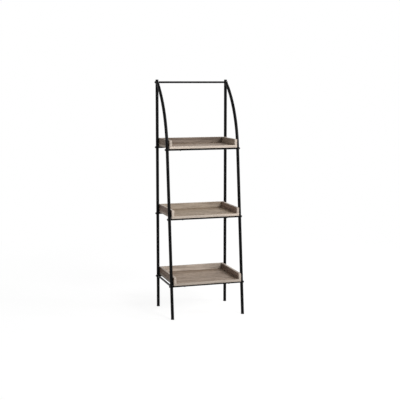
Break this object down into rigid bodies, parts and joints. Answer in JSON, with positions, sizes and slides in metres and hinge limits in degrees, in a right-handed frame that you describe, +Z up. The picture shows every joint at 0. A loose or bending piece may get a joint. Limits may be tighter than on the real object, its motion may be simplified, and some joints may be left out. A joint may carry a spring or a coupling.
{
  "type": "open etagere",
  "caption": "Open etagere with lipped driftwood-look trays on a black steel tube frame; the front legs lean back and curve over to meet the upright back posts.",
  "frame": {"origin": "on the floor, at the middle of the outline seen from above", "axes": "+Z up, +X to the right seen from the front, +Y to the back; the open fronts of the trays face -Y"},
  "size_m": [0.5084, 0.3802, 1.524],
  "materials": {
    "black_coat": "black powder coat, satin",
    "cap_plastic": "black moulded plastic, fine satin",
    "foot_plastic": "black moulded plastic, matt",
    "black_steel": "black plated steel, satin",
    "driftwood_board": "grey-brown driftwood oak look, matt, with edge banding"
  },
  "bodies": {
    "root": {"left_back_post": "black_coat", "left_front_leg": "black_coat", "left_side_rail": "black_coat", "left_post_cap": "cap_plastic", "left_back_foot": "foot_plastic", "left_front_foot": "foot_plastic", "right_back_post": "black_coat", "right_front_leg": "black_coat", "right_side_rail": "black_coat", "right_post_cap": "cap_plastic", "right_back_foot": "foot_plastic", "right_front_foot": "foot_plastic", "top_crossbar": "black_coat", "top_crossbar_left_bolt": "black_steel", "top_crossbar_right_bolt": "black_steel", "bottom_back_crossbar": "black_coat", "bottom_back_crossbar_left_bolt": "black_steel", "bottom_back_left_screw": "black_steel", "bottom_back_crossbar_right_bolt": "black_steel", "bottom_back_right_screw": "black_steel", "bottom_front_crossbar": "black_coat", "bottom_front_crossbar_left_bolt": "black_steel", "bottom_front_left_screw": "black_steel", "bottom_front_crossbar_right_bolt": "black_steel", "bottom_front_right_screw": "black_steel", "middle_back_crossbar": "black_coat", "middle_back_crossbar_left_bolt": "black_steel", "middle_back_left_screw": "black_steel", "middle_back_crossbar_right_bolt": "black_steel", "middle_back_right_screw": "black_steel", "middle_front_crossbar": "black_coat", "middle_front_crossbar_left_bolt": "black_steel", "middle_front_left_screw": "black_steel", "middle_front_crossbar_right_bolt": "black_steel", "middle_front_right_screw": "black_steel", "top_back_crossbar": "black_coat", "top_back_crossbar_left_bolt": "black_steel", "top_back_left_screw": "black_steel", "top_back_crossbar_right_bolt": "black_steel", "top_back_right_screw": "black_steel", "top_front_crossbar": "black_coat", "top_front_crossbar_left_bolt": "black_steel", "top_front_left_screw": "black_steel", "top_front_crossbar_right_bolt": "black_steel", "top_front_right_screw": "black_steel", "bottom_tray_base": "driftwood_board", "bottom_tray_left_lip": "driftwood_board", "bottom_tray_right_lip": "driftwood_board", "bottom_tray_back_lip": "driftwood_board", "middle_tray_base": "driftwood_board", "middle_tray_left_lip": "driftwood_board", "middle_tray_right_lip": "driftwood_board", "middle_tray_back_lip": "driftwood_board", "top_tray_base": "driftwood_board", "top_tray_left_lip": "driftwood_board", "top_tray_right_lip": "driftwood_board", "top_tray_back_lip": "driftwood_board"}
  },
  "joints": []
}
